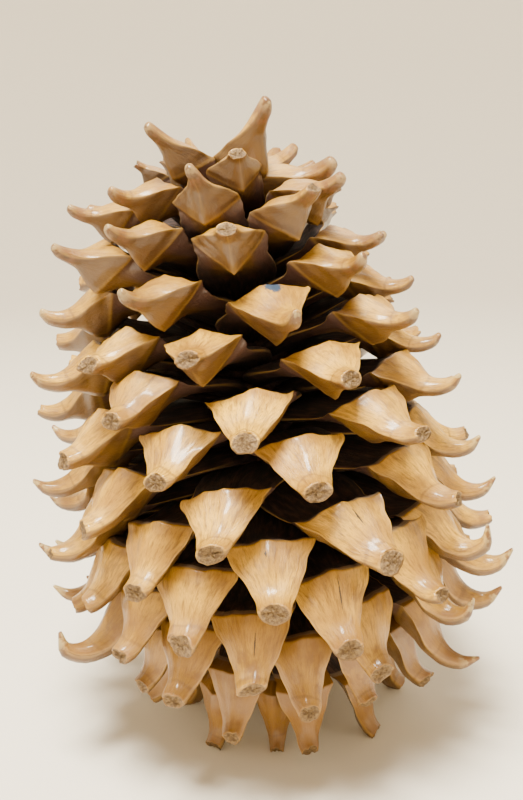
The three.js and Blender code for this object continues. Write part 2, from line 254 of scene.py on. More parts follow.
# Drying cracks: scale number, place across, place along, half length along
CRACKS = [(63, 0.1, 68.5, 4.2), (42, 0.16, 71, 6.5), (34, 0.12, 73, 5), (55, -0.1, 67.5, 1.3)]
# What a point that is far from every crack and stain is marked with
FAR_FROM_MARK = 9.0
# A dark resin stain on one crest: scale number, place across, place along, radius in millimetres
STAIN = (110, 0.12, 64.2, 3.6)

# Noises of the wood that are drawn out along the grain: how fast they change across a scale and
# along it, and their size and detail
GRAIN = {
    "streaks": (7.0, 0.09, 1.6, 5),
    "fibres": (30.0, 0.35, 1.6, 3),
    "blotches": (1.0, 0.07, 1.3, 3),
}
GRAIN_ROUGHNESS = 0.6
# Noises that are even in all directions: size, detail and roughness
SPECKS = {"patches": (45.0, 3, 0.5), "spots": (240.0, 3, 0.6), "grit": (900.0, 3, 0.6)}
# How far apart the noise is read for each scale, and for the upper and under side of one
OWN_NOISE, UNDER_NOISE = 173.0, 11.0

# Marks of the wood: where each begins, where it is full and how strongly it shows
WOOD_MARKS = {
    # read from the noises
    "warm": (0.3, 0.68, 1),
    "streaks": (0.44, 0.72, 0.72),
    "fibres": (0.48, 0.75, 0.7),
    "blotches": (0.48, 0.72, 0.5),
    "under_deep_and_shade": (0.35, 0.7, 1),
    "under_streaks": (0.45, 0.75, 0.5),
    "blade_streaks": (0.4, 0.7, 1),
    "claw_patches": (0.35, 0.6, 1),
    "worn": (0.42, 0.6, 1),
    "point_spots": (0.44, 0.56, 1),
    "break_specks": (0.38, 0.62, 1),
    # read from how far along its scale a point is
    "brown_crest": (68, 63, 0.25),
    "brown_claw": (84, 92, 0.4),
    "keel_along": (60, 64, 1),
    "flank_along": (62, 59.5, 1),
    "margin_along": (22, 45, 1),
    "strip_starts": (57.5, 59, 0.7),
    "strip_ends": (62, 61, 1),
    "worn_along": (82, 90, 1),
    # read from how far across it is, from 0 at the middle to 1 at the keels
    "keel": (0.93, 0.995, 0.3),
    "ridge": (0.1, 0, 0.25),
    "flank": (0.42, 0.7, 0.85),
    "margin": (0.965, 0.99, 0.75),
    # read from the height above the ground in metres
    # painted shade: the lowest scales are darkened, as if below the light from above
    "painted_shade_low": (0.12, 0.03, 0.9),
    "brown_crown": (0.17, 0.23, 0.5),
    "under_crown": (0.17, 0.23, 0.45),
    "worn_crown": (0.17, 0.23, 0.45),
    "long_face": (0.08, 0.045, 9),
    # read from how far it is from a line or a spot
    "fold": (1.6, 0.3, 0.3),
    "ring": (1.1, 0.2, 0.45),
    "stain": (1.1, 0.8, 1),
    # read from the scale's chance number and from how torn the point is
    "ringed_scale": (0.25, 0.45, 1),
    "rim": (0.3, 0.45, 0.15),
    "break": (0.66, 0.85, 1),
}
# Where the blade begins to show and where it is full, on top and how much further in below
BLADE_STARTS, BLADE_FULL = 61.2, 59.8
BLADE_STARTS_BELOW, BLADE_FULL_BELOW = -8.0, -38.0
# How far the patches move the edge of the blade, the edge of the flank and the claw's ring
BLADE_RAGGED, FLANK_RAGGED, RING_RAGGED = 3.2, 0.32, 14.0
WORN_EVERYWHERE = 0.25
POINT_SHOWS = 0.8
RING_FAR = 84.0
CRACK_WIDTH = 0.03
CRACK_WANDER = 0.05
STAIN_RAGGED = 1.5
# Gloss and relief: how much the patches change the roughness, the roughness of blades and
# breaks, the coat's own roughness, and how high streaks, fibres and torn grit stand
ROUGHER_PATCHES, SMOOTHER_FACE, DULL_ROUGHNESS, COAT_ROUGHNESS = 0.25, -0.1, 0.75, 0.16
STREAK_RELIEF, FIBRE_RELIEF, TORN_RELIEF = 0.5, 0.3, 1.5
# The axis: size, detail and roughness of its lumps, their height in metres, and its roughness
BARK_LUMPS = (160.0, 5, 0.65)
BARK_RELIEF = 0.002
BARK_ROUGHNESS = 0.85

# Pieces: name, first scale and the scale after the last one
SCALE_GROUPS = [
    ("lower_scales", 0, 40),
    ("middle_scales", 40, 80),
    ("upper_scales", 80, 118),
    ("crown_scales", 118, SCALE_COUNT),
]


def chance(scale, use):
    """A fixed chance number from 0 to 1 for each scale and use: the fraction left of a fast sine
    wave. Every use has a number of its own."""
    wave = np.sin(scale * SCALE_STRIDE + use * USE_STRIDE) * CHANCE_SPREAD
    return wave - np.floor(wave)


def wander(scale, use, size):
    """A fixed chance offset from -size to size."""
    return (chance(scale, use) * 2 - 1) * size


def along(row, scale):
    """Straight-line reading of a row of values at each scale's number."""
    return np.interp(scale, AT_SCALE, row)


def ramp(value, low, high):
    """0 below low and 1 above high, with a smooth S-curve between them."""
    share = np.clip((value - low) / (high - low), 0, 1)
    return share * share * (3 - 2 * share)


def own(table, scale, plain=0):
    """Each scale's own value in a table, or else the plain one."""
    return np.array([table.get(int(number), plain) for number in scale], float)


def off_spiral(scale):
    """Sideways swing, lift, tilt and stretch of every scale, one row of four for each."""
    return own(OFF_SPIRAL, scale, (0, 0, 0, 0))


def claw_ends(scale):
    """How far along each scale its claw ends: at the claw, the hook or the tip station."""
    draw = chance(scale, END)
    end = np.where(draw < SNAPPED_CHANCE, CLAW_FAR, np.where(draw < CHIPPED_CHANCE, HOOK_FAR, TIP_FAR))
    end = np.where(np.isin(scale, WHOLE), TIP_FAR, end)
    end = np.where(np.isin(scale, CHIPPED), HOOK_FAR, end)
    always = (scale < ALWAYS_SNAPPED_BELOW) | (scale >= ALWAYS_SNAPPED_FROM)
    return np.where(np.isin(scale, SNAPPED) | always, CLAW_FAR, end)


def claw_stops(scale, end, spread):
    """Where along its scale each claw stops: a whole one a little before the tip station, a broken
    one within a spread of its station, and a few at a place of their own."""
    whole = end > HOOK_FAR
    stops = end + np.where(whole, -along(CLAW_BLUNTED, scale), wander(scale, STOP, spread))
    return np.where(np.isin(scale, list(OWN_END)), own(OWN_END, scale), stops)


def azimuths(scale):
    """Direction in which each scale grows, seen from above: a steady turn from scale to scale, with
    a slight twist near the top and a slight spread of the front and back."""
    steady = FIRST_AZIMUTH_DEG + TURN_DEG * scale
    twisted = steady + UPPER_TWIST_DEG * np.maximum(scale - UPPER_TWIST_FROM, 0)
    spread = FRONT_SPREAD_DEG * np.sin(np.radians(2 * twisted))
    swing = off_spiral(scale)[:, 0] + wander(scale, AZIMUTH, AZIMUTH_WANDER_DEG)
    return np.radians(twisted + spread + swing)


def turned(point, angle, length):
    """A point given outward and upward, turned by an angle and lengthened, for every scale."""
    outward, upward = point
    return np.stack(
        [
            length * (outward * np.cos(angle) - upward * np.sin(angle)),
            length * (outward * np.sin(angle) + upward * np.cos(angle)),
        ],
        -1,
    )


def scale_stations(scale, azimuth, end, blade_thickness):
    """Keel, back and belly of every scale at every station, as distance from the cone's axis and
    height, with the half width last: an array of scales by stations by seven. Each point of the
    form is turned by the scale's pitch about the crest. Past the claw's root, the pitch counts
    less and each station hangs on the keel of the one before, so that claws hook outward at
    every height. Also returns the upward direction of each scale, as long as its length share."""
    _, lift, tilt, stretch = off_spiral(scale).T
    size = 1 + wander(scale, SIZE, SIZE_WANDER)
    facing = np.maximum(np.cos(azimuth - math.radians(FLAT_SIDE_DEG)), 0)
    to_flat_side = facing**FLAT_SIDE_SHARPNESS
    shorter = 1 - along(FLAT_SIDE_SHARE, scale) * to_flat_side
    length = along(LENGTH_SHARE, scale) * size * (1 + stretch) * shorter
    half_width = along(HALF_WIDTH, scale) * size * (1 + stretch)
    to_side = np.sin(azimuth) ** 2
    droop = along(SIDES_DROOP_DEG, scale) * to_side
    pitch_wander = wander(scale, PITCH, PITCH_WANDER_DEG)
    pitch = np.radians(along(PITCH_DEG, scale) + tilt - droop + pitch_wander)
    oval = (1 - along(FLATTENED_SIDES, scale) * to_side) * shorter
    raised = lift - along(SIDES_LOWER, scale) * to_side + wander(scale, HEIGHT, HEIGHT_WANDER)
    crest = np.stack([along(CREST_RADIUS, scale) * oval, along(CREST_HEIGHT, scale) + raised], -1)
    root = np.stack([along(ROOT_REACH, scale), along(ROOT_HEIGHT, scale)], -1)
    depth = along(BELLY_DEPTH, scale)
    whole = end > HOOK_FAR
    claw_width, claw_stout = along(CLAW_WIDTH, scale), along(CLAW_STOUT, scale)
    claw_turn = np.radians(own(CLAW_TURN, scale))

    formed = []
    anchor, from_point = crest, np.zeros(2)
    for name, _, keel_out, keel_up, width, back_out, back_up, belly_out, belly_up in STATIONS:
        angle = pitch * CLAW_FOLLOWS.get(name, 1) + claw_turn * CLAW_TAKES.get(name, 0)
        deeper = 1 + (depth - 1) * BELLY_TAKES.get(name, 1)
        keel = anchor + turned((keel_out - from_point[0], keel_up - from_point[1]), angle, length)
        stout = 1 + (claw_stout - 1) * CLAW_THICKENS.get(name, 0)
        thick = length * stout
        back = keel + turned((back_out - keel_out, back_up - keel_up), angle, thick)
        belly = keel + turned((belly_out - keel_out, belly_up - keel_up), angle, thick * deeper)
        slim = np.where(whole & (name in ("claw", "hook")), WHOLE_CLAW_SHARE, 1)
        narrow = 1 + (claw_width - 1) * CLAW_NARROWS.get(name, 0)
        half = half_width * width * slim * narrow * stout
        formed.append(np.column_stack([keel, back, belly, half]))
        if name in CLAW_HINGES:
            anchor, from_point = keel, np.array([keel_out, keel_up])

    neck = formed[0][:, :2]
    middle = root + BLADE_AT * (neck - root) + np.array([0, BLADE_RISE])
    half_blade = np.array([0, blade_thickness / 2])
    half_root = half_blade * ROOT_THICKER
    root_width = np.full(len(scale), ROOT_HALF_WIDTH)
    blade_width = half_width * BLADE_HALF_WIDTH_SHARE
    inner = [
        np.column_stack([root, root + half_root, root - half_root, root_width]),
        np.column_stack([middle, middle + half_blade, middle - half_blade, blade_width]),
    ]
    up = turned((0, 1), pitch, length)
    return np.stack(inner + formed, 1), up


def carried(stations, far):
    """Smooth curve through the stations, read at each row: the cubic whose slope at a station is
    that of the parabola through it and its two neighbours."""
    slope = np.gradient(stations, FAR, axis=1)
    k = np.clip(np.searchsorted(FAR, far) - 1, 0, len(FAR) - 2)
    step = (FAR[k + 1] - FAR[k])[..., None]
    share = (far - FAR[k])[..., None] / step
    start, stop = (np.take_along_axis(stations, (k + side)[..., None], 1) for side in (0, 1))
    start_slope, stop_slope = (np.take_along_axis(slope, (k + side)[..., None], 1) for side in (0, 1))
    return (
        (1 + 2 * share) * (1 - share) ** 2 * start
        + share * (1 - share) ** 2 * step * start_slope
        + share**2 * (3 - 2 * share) * stop
        + share**2 * (share - 1) * step * stop_slope
    )


def leaned(points):
    """Bends the upright cone over to its lean: every height has a shift sideways and a tilt."""
    height = np.maximum(points[..., 2], 0)
    sideways = np.interp(height, LEAN_HEIGHTS, LEAN_SIDEWAYS)
    tilt = np.interp(height, LEAN_HEIGHTS, LEAN_TILT)
    return np.stack(
        [
            points[..., 0] * np.cos(tilt) + sideways + AXIS_SHIFT[0],
            points[..., 1] + AXIS_SHIFT[1],
            points[..., 2] + points[..., 0] * np.sin(tilt),
        ],
        -1,
    )


def section_rises(far, across):
    """How high the back and the belly stand off the keels at every row and place, as shares of
    their full height: (1 - |across| ** fullness) ** roundness."""
    return (
        np.clip(1 - np.abs(across) ** np.interp(far, SHAPE_FAR, fullness)[..., None], 0, 1)
        ** np.interp(far, SHAPE_FAR, roundness)[..., None]
        for fullness, roundness in (
            (BACK_FULLNESS, BACK_ROUNDNESS),
            (BELLY_FULLNESS, BELLY_ROUNDNESS),
        )
    )


def face_lift(scale, far, across, waviness):
    """How far each point is raised off its plain section. The corners of the crest are winged
    upward by |across| ** 6, and slow sine waves, which fade towards the edges by
    1 - across ** 4, keep the faces from being flat."""
    wings = np.interp(far, SHAPE_FAR, WING_LIFT)[..., None] * np.abs(across) ** WING_SHARPNESS
    wings = wings * (1 + wander(scale, WINGS, WING_WANDER))[:, None, None]
    waves = 0
    for use, (turns, strength, speed) in zip(WAVES, FACE_WAVES):
        phase = 2 * np.pi * chance(scale, use)[:, None, None]
        waves = waves + strength * np.sin(turns * np.pi * across + phase + speed * far[..., None])
    size = waviness * np.interp(far, SHAPE_FAR, WAVE_SHARE)[..., None]
    return wings + size * waves * (1 - across**WAVE_FADE)


def edge_waves(scale, far, across, size):
    """Share by which a scale is wider or narrower at each place: two slow sine waves along each
    of its two edges, which fade out towards the root."""
    waves = 0
    for edge in (-1, 1):
        for order, (strength, speed) in enumerate(EDGE_WAVES):
            phase = 2 * np.pi * chance(scale, EDGES + order + 2 * edge)[:, None, None]
            wave = np.sin(speed * far[..., None] + phase) * strength
            waves = waves + wave * np.clip(edge * across, 0, 1)
    return size * waves * ramp(far, BLADE_FAR, CREST_FAR)[..., None]


def ended(scale, place, side, up, heading, tip_half, broken, form):
    """Closes each claw's end by rings that shrink to its middle. A whole claw ends in a small
    dome. A broken one ends in a slope of chance steepness with splinters, a sum of sines round
    the section, and the rings in it are dented by sines of their own."""
    slant = 2 * np.pi * chance(scale, SLANT)
    steep = chance(scale, STEEPNESS) ** 2 * form.break_slant
    middle = place[:, -1].mean(1, keepdims=True)
    middle_side = side[:, -1].mean(1, keepdims=True)
    over = ((place[:, -1] - middle) * up[:, None]).sum(-1) * np.sin(slant)[:, None]
    over = over + (side[:, -1] - middle_side) * np.cos(slant)[:, None]
    turn = 2 * np.pi * np.arange(ROUND) / ROUND
    splinters = sum(
        np.sin(order * turn + 2 * np.pi * chance(scale, SPLINTERS + order)[:, None]) / order**0.5
        for order in SPLINTER_WAVES
    )
    height = form.break_ragged / MM
    shift = np.where(broken, 1, 0)[:, None] * (over * steep[:, None] + splinters * height)
    for rows_back, part in BREAK_FOLLOWS:
        place[:, -rows_back] += (shift * part)[..., None] * heading[:, None]

    rings, ring_sides = [place], [side]
    last, last_side = place[:, -1], side[:, -1]
    second_size, second_speed = SECOND_DENT
    for number, share in enumerate(BREAK_RINGS):
        swirl = turn * (number + 2) + 2 * np.pi * chance(scale, DENTS + number)[:, None]
        dents = np.sin(swirl) + second_size * np.sin(second_speed * swirl + number)
        hollow = dents * height * DENT_SHARE - (1 - share) * BREAK_HOLLOW
        dome = tip_half * DOME_SHARE * np.sqrt(1 - share**2)
        raised = np.where(broken[:, None], hollow, dome)
        ring = middle + (last - middle) * share + raised[..., None] * heading[:, None]
        rings.append(ring[:, None])
        ring_sides.append((middle_side + (last_side - middle_side) * share)[:, None])
    return np.concatenate(rings, 1), np.concatenate(ring_sides, 1)


def with_end_rings(values):
    """Rows of values with the last one repeated for the rings that close the claw."""
    return np.concatenate([values, np.repeat(values[:, -1:], len(BREAK_RINGS), 1)], 1)


def scale_surfaces(scale, form):
    """Points and marks of every scale, as arrays of scales by rows by places round the section.

    A point is the keel's middle, plus its share of the half width sideways, plus the way from
    keel to back (or belly) times its rise, plus its lift. The section rolls a little towards the
    crest, and the claw swings sideways by the square of its length."""
    azimuth = azimuths(scale)
    end = claw_ends(scale)
    broken = end < TIP_FAR
    stations, up = scale_stations(scale, azimuth, end, form.blade_thickness / MM)
    stops = claw_stops(scale, end, form.break_spread / MM)
    body = np.broadcast_to(np.array(BODY_ROWS, float), (len(scale), len(BODY_ROWS)))
    steps = np.arange(1, CLAW_ROWS + 1) / CLAW_ROWS
    claw = CLAW_ROOT_FAR + (stops - CLAW_ROOT_FAR)[:, None] * steps
    far = np.concatenate([body, claw], 1)
    line = carried(stations, far)
    keel, back, belly, half = line[..., 0:2], line[..., 2:4], line[..., 4:6], line[..., 6]

    half_turn = np.pi * np.arange(ROUND // 2) / (ROUND // 2)
    across = np.concatenate([-np.cos(half_turn), np.cos(half_turn)])
    below = np.repeat([0.0, 1.0], ROUND // 2)
    back_rise, belly_rise = section_rises(far, across)
    rise = np.where(below > 0, belly_rise, back_rise)[..., None]
    target = np.where(below[:, None] > 0, belly[:, :, None], back[:, :, None])
    lift = face_lift(scale, far, across, form.waviness / MM)
    place = keel[:, :, None] + (target - keel[:, :, None]) * rise
    place = place + lift[..., None] * up[:, None, None]

    side = half[..., None] * across * (1 + edge_waves(scale, far, across, form.edge_waviness))
    roll = np.radians(along(ROLL_DEG, scale) + wander(scale, ROLL, form.roll_wander_deg))
    rolled = roll[:, None, None] * ramp(far, ROOT_FAR, NECK_FAR)[..., None]
    place = place + (side * np.sin(rolled))[..., None] * up[:, None, None]
    swing = wander(scale, SWING, form.claw_swing / MM)[:, None]
    swing = swing * (np.maximum(far - CLAW_ROOT_FAR, 0) / CLAW_SWING_OVER) ** 2
    skew = np.tan(np.radians(own(SKEW, scale)))[:, None]
    reach = keel[..., 0] - keel[:, BODY_ROWS.index(CREST_FAR), None, 0]
    side = side * np.cos(rolled) + (swing + skew * np.maximum(reach, 0))[..., None]

    heading = keel[:, -1] - keel[:, -3]
    heading = heading / np.linalg.norm(heading, axis=-1, keepdims=True)
    place, side = ended(scale, place, side, up, heading, half[:, -1:], broken, form)
    far, half = with_end_rings(far), with_end_rings(half)

    outward = np.stack([np.sin(azimuth), -np.cos(azimuth)], -1)[:, None, None]
    sideways = np.stack([np.cos(azimuth), np.sin(azimuth)], -1)[:, None, None]
    level = place[..., :1] * outward + side[..., None] * sideways
    points = leaned(np.concatenate([level, place[..., 1:]], -1)) * MM
    return points, scale_marks(scale, across, below, far, half, broken)


def scale_marks(scale, across, below, far, half, broken):
    """The marks that the wood is painted by, each of three numbers a point. Place holds how far
    across and along the scale the point is, and 1 under the keels. State holds the scale's own
    chance number, how torn the point is and how near a whole claw's tip. Flaw holds how far it
    is from a crack and a stain."""
    rows = far.shape[1]
    first_ring = rows - len(BREAK_RINGS)
    torn = np.where(np.arange(rows) > first_ring, 1.0, 0.0)
    torn[first_ring - 1 : first_ring + 1] = RIM_TORN
    near_tip = ramp(far, HOOK_FAR - POINT_STARTS_BEFORE_HOOK, TIP_FAR)
    marks = {
        "place": (across, far[..., None], below),
        "state": (
            chance(scale, TINT)[:, None, None],
            np.where(broken[:, None], torn, 0)[..., None],
            np.where(broken[:, None], 0, near_tip)[..., None],
        ),
        "flaw": flaw_distances(scale, across, far, half),
    }
    shape = (len(scale), rows, len(across))
    return {
        name: np.stack([np.broadcast_to(value, shape) for value in values], -1)
        for name, values in marks.items()
    }


def flaw_distances(scale, across, far, half):
    """How far each point is from its scale's crack and stain: across the crack, along it, and from
    the stain's middle, each as a share of the flaw's own size."""
    shape = (len(scale), far.shape[1], len(across))
    over, beside, spot = (np.full(shape, FAR_FROM_MARK) for _ in range(3))
    for number, at_across, at_far, reach in CRACKS:
        mine = np.flatnonzero(scale == number)
        over[mine] = across - at_across
        beside[mine] = (far[mine, :, None] - at_far) / reach
    number, at_across, at_far, radius = STAIN
    mine = np.flatnonzero(scale == number)
    over_stain = (across - at_across) * half[mine, :, None]
    spot[mine] = np.hypot(over_stain, far[mine, :, None] - at_far) / radius
    return over, beside, spot


def closed_tubes(points):
    """Joins each scale's rings of points by quads, and closes both ends by fans to a middle point.
    Returns all points, the faces and, for each middle point, the ring point whose marks it takes."""
    count, rows, around, _ = points.shape
    ends = np.stack([points[:, 0].mean(1), points[:, -1].mean(1)], 1)
    ring = np.arange(count * rows * around).reshape(count, rows, around)
    pole = count * rows * around + np.arange(count * 2).reshape(count, 2)
    follow = np.roll(ring, -1, 2)
    quads = np.stack([ring[:, :-1], ring[:, 1:], follow[:, 1:], follow[:, :-1]], -1).reshape(-1, 4)
    start = np.stack([follow[:, 0], np.broadcast_to(pole[:, :1], follow[:, 0].shape), ring[:, 0]], -1)
    stop = np.stack([ring[:, -1], np.broadcast_to(pole[:, 1:], ring[:, -1].shape), follow[:, -1]], -1)
    triangles = np.concatenate([start.reshape(-1, 3), stop.reshape(-1, 3)])
    vertices = np.concatenate([points.reshape(-1, 3), ends.reshape(-1, 3)])
    like = np.stack([ring[:, 0, 0], ring[:, -1, around // 4]], 1).reshape(-1)
    return vertices, quads, triangles, like


def placed(name, data):
    """Puts a new object into the scene."""
    made = bpy.data.objects.new(name, data)
    bpy.context.scene.collection.objects.link(made)
    return made


def smooth_mesh(name, vertices, faces, material):
    """A smooth mesh of one material."""
    mesh = bpy.data.meshes.new(name)
    mesh.from_pydata(vertices.tolist(), [], faces)
    mesh.polygons.foreach_set("use_smooth", np.ones(len(mesh.polygons), bool))
    mesh.materials.append(material)
    return mesh


def solid_piece(name, vertices, quads, triangles, material, marks=None):
    """Makes one shown piece of the cone from points and faces, and lets it stand for the CAD node."""
    inside = np.clip(vertices, CONE_LOW + EDGE_MARGIN, CONE_HIGH - EDGE_MARGIN)
    inside[:, 2] = np.clip(vertices[:, 2], 0, CONE_HIGH[2] - EDGE_MARGIN)
    mesh = smooth_mesh(name, inside, quads.tolist() + triangles.tolist(), material)
    for mark, values in (marks or {}).items():
        layer = mesh.attributes.new(mark, "FLOAT_VECTOR", "POINT")
        layer.data.foreach_set("vector", np.ascontiguousarray(values, np.float32).ravel())
    mesh.update()
    piece = placed(name, mesh)
    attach(piece, BODY)
    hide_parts(CONE)


def rgba(colour):
    """A colour as four numbers, or a socket as it is."""
    return colour if isinstance(colour, bpy.types.NodeSocket) else (*colour, 1)


class Shader:
    """A small hand for building one material's nodes."""

    def __init__(self, name):
        self.material = bpy.data.materials.new(name)
        self.material.use_nodes = True
        self.tree = self.material.node_tree
        self.surface = self.tree.nodes["Principled BSDF"]

    def node(self, kind, settings=None, **inputs):
        """Adds a node with its settings and inputs."""
        made = self.tree.nodes.new(kind)
        for name, value in (settings or {}).items():
            setattr(made, name, value)
        return self.fed(made, **inputs)

    def fed(self, node, **inputs):
        """Feeds a node's inputs, by name with _ for a space."""
        for name, value in inputs.items():
            self.feed(node.inputs[name.replace("_", " ")], value)
        return node

    def feed(self, socket, value):
        """Links a socket, or sets a constant."""
        if isinstance(value, bpy.types.NodeSocket):
            self.tree.links.new(value, socket)
        else:
            socket.default_value = value

    def calc(self, operation, *values, clamp=False):
        """One math node."""
        made = self.tree.nodes.new("ShaderNodeMath")
        made.operation = operation
        made.use_clamp = clamp
        for socket, value in zip(made.inputs, values):
            self.feed(socket, value)
        return made.outputs[0]

    def times(self, first, *others):
        """The product of its values."""
        for other in others:
            first = self.calc("MULTIPLY", first, other)
        return first

    def plus(self, first, *others):
        """The sum of its values."""
        for other in others:
            first = self.calc("ADD", first, other)
        return first

    def rest(self, value):
        """What is left of 1."""
        return self.calc("SUBTRACT", 1.0, value)

    def step(self, value, start, full, strength=1.0):
        """0 before start and the strength past full, smooth between. Start may be above full."""
        return self.node(
            "ShaderNodeMapRange", {"interpolation_type": "SMOOTHSTEP"},
            Value=value, From_Min=start, From_Max=full, To_Max=strength,
        ).outputs["Result"]

    def marked(self, value, mark):
        """How strongly a mark of the wood shows at a value."""
        return self.step(value, *WOOD_MARKS[mark])

    def mix(self, share, first, second):
        """Colour between two colours."""
        made = self.tree.nodes.new("ShaderNodeMix")
        made.data_type = "RGBA"
        ends = rgba(first), rgba(second)
        for socket, value in zip((made.inputs[0], made.inputs[6], made.inputs[7]), (share, *ends)):
            self.feed(socket, value)
        return made.outputs[2]

    def parts(self, vector):
        """The three numbers of a vector."""
        return self.node("ShaderNodeSeparateXYZ", Vector=vector).outputs

    def joined(self, x, y, z):
        """A vector of three numbers."""
        return self.node("ShaderNodeCombineXYZ", X=x, Y=y, Z=z).outputs[0]

    def noise(self, vector, size, detail, roughness):
        """Noise from 0 to 1, about 0.5 on the whole."""
        return self.node(
            "ShaderNodeTexNoise", Vector=vector, Scale=size, Detail=detail, Roughness=roughness
        ).outputs[0]


def wood_fields(wood):
    """The sockets that the wood is painted by: the piece's own marks, the noises, and what is
    worked out from them, such as where the blade and the crack show."""
    field = SimpleNamespace()
    place, state, flaw = (
        wood.parts(wood.node("ShaderNodeAttribute", {"attribute_name": name}).outputs["Vector"])
        for name in ("place", "state", "flaw")
    )
    across, field.far, field.below = place
    field.draw, field.torn, field.point = state
    crack_over, crack_along, stain_far = flaw
    field.edge = wood.calc("ABSOLUTE", across)
    where = wood.node("ShaderNodeTexCoord").outputs["Object"]
    field.height = wood.parts(where)[2]

    level = wood.plus(wood.times(field.below, UNDER_NOISE), wood.times(field.draw, OWN_NOISE))
    for name, (over, onward, size, detail) in GRAIN.items():
        grain = wood.joined(wood.times(across, over), wood.times(field.far, onward), level)
        setattr(field, name, wood.noise(grain, size, detail, GRAIN_ROUGHNESS))
    for name, values in SPECKS.items():
        setattr(field, name, wood.noise(where, *values))
    field.uneven = wood.calc("SUBTRACT", field.patches, 0.5)

    longer = wood.marked(field.height, "long_face")
    field.behind = wood.plus(field.far, wood.times(field.uneven, BLADE_RAGGED), longer)
    starts = wood.calc("MULTIPLY_ADD", field.below, BLADE_STARTS_BELOW, BLADE_STARTS)
    full = wood.calc("MULTIPLY_ADD", field.below, BLADE_FULL_BELOW, BLADE_FULL)
    field.blade = wood.step(field.behind, starts, full)

    above = wood.rest(field.below)
    wander_over = wood.times(wood.calc("SUBTRACT", field.fibres, 0.5), CRACK_WANDER)
    bent = wood.calc("ABSOLUTE", wood.plus(crack_over, wander_over))
    inside = wood.calc("SUBTRACT", 1.0, wood.calc("ABSOLUTE", crack_along), clamp=True)
    narrow = wood.calc("LESS_THAN", bent, wood.times(inside, CRACK_WIDTH))
    field.crack = wood.times(narrow, above)
    blot = wood.times(wood.calc("SUBTRACT", field.grit, 0.5), STAIN_RAGGED)
    field.stain = wood.times(wood.marked(wood.plus(stain_far, blot), "stain"), above)
    return field


def face_colour(wood, field, look):
    """The outer face: tan with ochre patches and brown grain, and browner in blotches, under the
    crest, along the claw and in the crown, and darker on the lowest scales as painted shade."""
    face = wood.mix(wood.marked(field.patches, "warm"), look.face_light, look.face_warm)
    face = wood.mix(wood.marked(field.streaks, "streaks"), face, look.face_deep)
    face = wood.mix(wood.marked(field.fibres, "fibres"), face, look.face_deep)
    claw = wood.marked(field.far, "brown_claw")
    brown = wood.plus(
        wood.marked(field.far, "brown_crest"),
        wood.marked(field.blotches, "blotches"),
        wood.times(claw, wood.marked(field.patches, "claw_patches")),
        wood.marked(field.height, "painted_shade_low"),
        wood.marked(field.height, "brown_crown"),
    )
    return wood.mix(brown, face, look.face_brown_and_shade)


def under_colour(wood, field, look):
    """The face under the keels: brown with deeper patches and streaks, and darker in the crown.
    Its browns are darker than the wood's own, as painted shade of the under sides.
    """
    under = wood.mix(wood.marked(field.patches, "under_deep_and_shade"), look.under_light_and_shade, look.under_deep_and_shade)
    under = wood.mix(wood.marked(field.streaks, "under_streaks"), under, look.face_deep)
    return wood.mix(wood.marked(field.height, "under_crown"), under, look.under_deep_and_shade)


def with_keels(wood, field, look, colour):
    """Paler along the keels, and faintly along the ridge of the belly."""
    keel = wood.times(wood.marked(field.edge, "keel"), wood.marked(field.far, "keel_along"))
    ridge = wood.times(wood.marked(field.edge, "ridge"), field.below, field.patches)
    return wood.mix(wood.calc("MAXIMUM", keel, ridge), colour, look.margin)


def with_blade(wood, field, look, colour):
    """Grey flanks and a pale fold below the crest, the dark streaked blade with its pale margins
    behind it, its brown darkened near to black as painted shade of the gaps between scales, and a
    pale strip where the face ends on top."""
    out = wood.calc("MULTIPLY_ADD", field.uneven, FLANK_RAGGED, field.edge)
    along_flank = wood.marked(field.far, "flank_along")
    flank = wood.times(wood.marked(out, "flank"), field.below, along_flank)
    colour = wood.mix(flank, colour, look.flank)
    from_crest = wood.calc("ABSOLUTE", wood.calc("SUBTRACT", field.far, CREST_FAR))
    fold = wood.times(wood.marked(from_crest, "fold"), field.below, field.patches)
    colour = wood.mix(fold, colour, look.margin)

    blade = wood.mix(wood.marked(field.streaks, "blade_streaks"), look.blade_deep_and_shade, look.blade_light_and_shade)
    margin = wood.times(wood.marked(field.edge, "margin"), wood.marked(field.far, "margin_along"))
    colour = wood.mix(field.blade, colour, wood.mix(margin, blade, look.margin))
    starts, ends = (wood.marked(field.behind, mark) for mark in ("strip_starts", "strip_ends"))
    return wood.mix(wood.times(starts, ends, wood.rest(field.below)), colour, look.crest_strip)


def with_tips(wood, field, look, colour):
    """Brown spots along the claws, most of all in the crown, a pale speckled point on whole
    claws, and a faint dark ring round some claws."""
    share = wood.plus(wood.marked(field.height, "worn_crown"), WORN_EVERYWHERE)
    worn = wood.times(wood.marked(field.far, "worn_along"), wood.marked(field.spots, "worn"), share)
    colour = wood.mix(worn, colour, look.tip_brown)
    point = wood.mix(wood.marked(field.spots, "point_spots"), look.tip_brown, look.point)
    colour = wood.mix(wood.times(field.point, POINT_SHOWS), colour, point)
    ring_far = wood.plus(field.far, wood.times(field.uneven, RING_RAGGED), -RING_FAR)
    ring = wood.marked(wood.calc("ABSOLUTE", ring_far), "ring")
    ring = wood.times(ring, wood.marked(field.draw, "ringed_scale"))
    return wood.mix(ring, colour, look.face_deep)


def with_breaks(wood, field, look, colour):
    """A faint pale rim and a rough brown middle with pale specks on broken ends."""
    colour = wood.mix(wood.marked(field.torn, "rim"), colour, look.margin)
    rough = wood.mix(wood.marked(field.grit, "break_specks"), look.break_deep, look.break_light)
    return wood.mix(wood.marked(field.torn, "break"), colour, rough)


